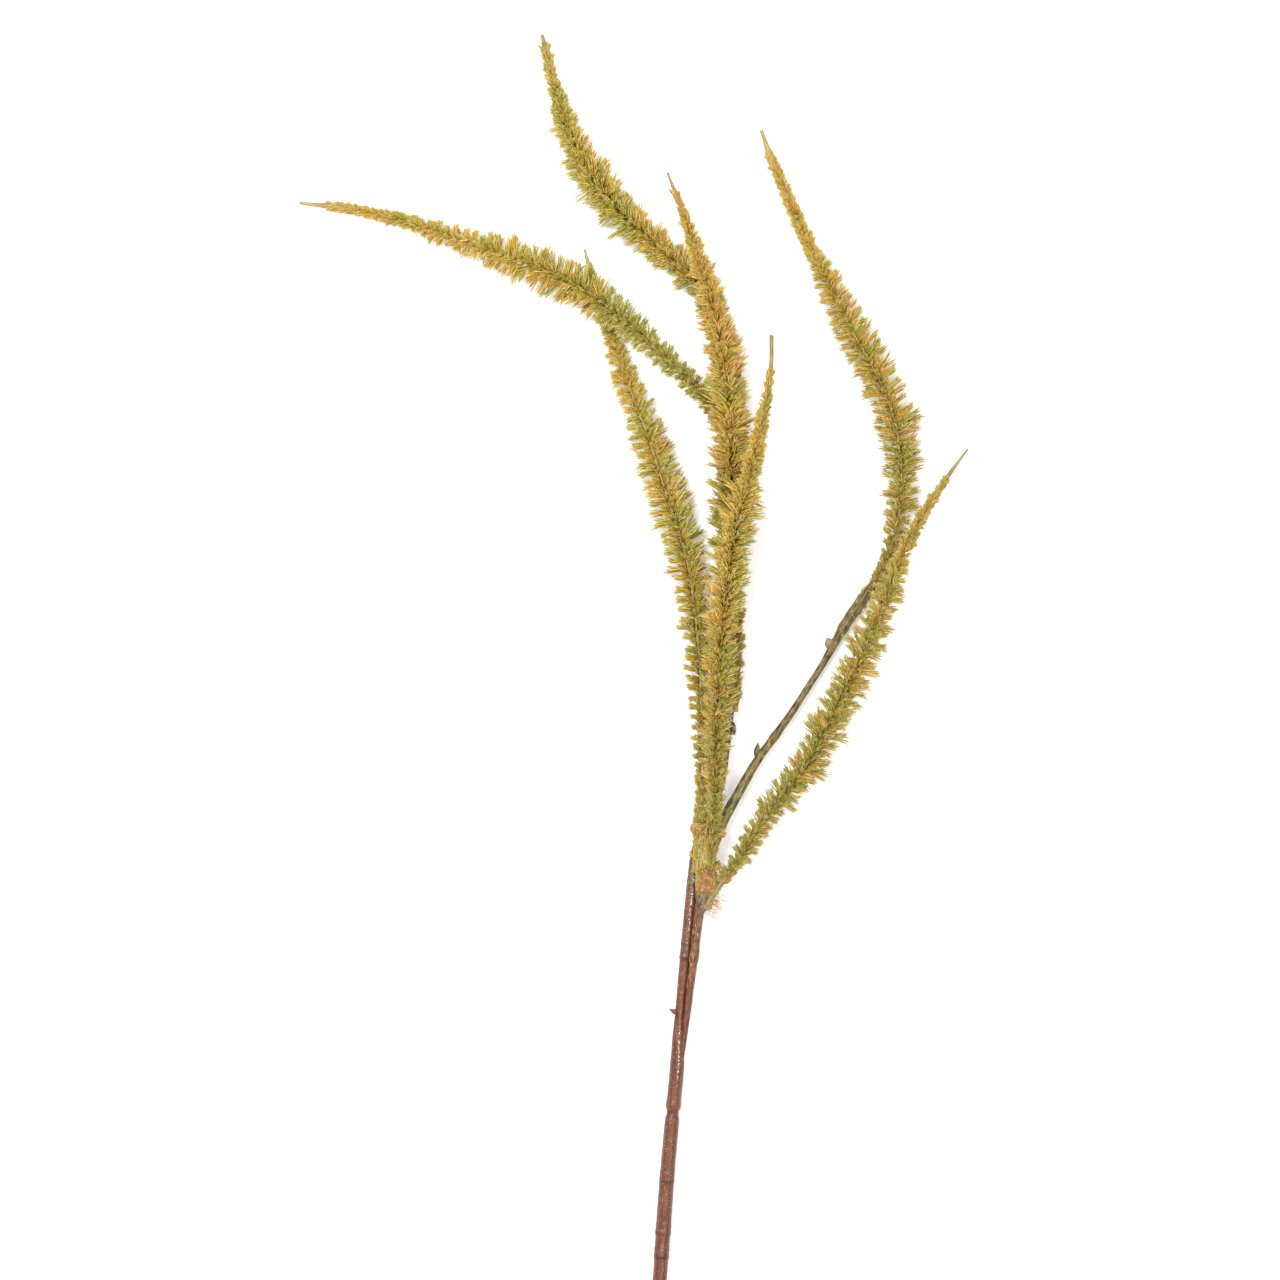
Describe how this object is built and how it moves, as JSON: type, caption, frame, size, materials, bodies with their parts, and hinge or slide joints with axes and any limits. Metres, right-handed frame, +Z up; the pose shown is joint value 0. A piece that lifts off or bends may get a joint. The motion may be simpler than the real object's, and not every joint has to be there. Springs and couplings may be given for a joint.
{
  "type": "fern frond",
  "caption": "Cut fern frond lying flat: a jointed woody stem that divides at a crown into a bare side stem and long, narrow, tapering spikes of small dense leaflets.",
  "frame": {"origin": "middle of the frond's footprint, on the surface that it lies on", "axes": "+Y from the cut end of the stem towards the tips, +Z up from the surface"},
  "size_m": [0.334, 0.6658, 0.0417],
  "materials": {
    "bark": "smooth reddish-brown bark with a soft gloss",
    "green_bark": "ribbed olive-brown young bark, matt",
    "sheath": "fibrous yellow-green leaf bases, matt",
    "bract": "papery orange-brown scale, satin",
    "rachis": "smooth pale straw-coloured stalk, satin",
    "leaflets": "soft ochre and olive leaflets, satin"
  },
  "bodies": {
    "root": {"main_stem": "bark", "side_stem": "green_bark", "crown_sheath": "sheath", "crown_bract": "bract", "left_spike_rachis": "rachis", "left_spike_leaflets": "leaflets", "upper_left_spike_rachis": "rachis", "upper_left_spike_leaflets": "leaflets", "centre_spike_rachis": "rachis", "centre_spike_leaflets": "leaflets", "right_centre_spike_rachis": "rachis", "right_centre_spike_leaflets": "leaflets", "lower_left_spike_rachis": "rachis", "lower_left_spike_leaflets": "leaflets", "right_spike_rachis": "rachis", "right_spike_leaflets": "leaflets", "lower_right_spike_rachis": "rachis", "lower_right_spike_leaflets": "leaflets"}
  },
  "joints": []
}
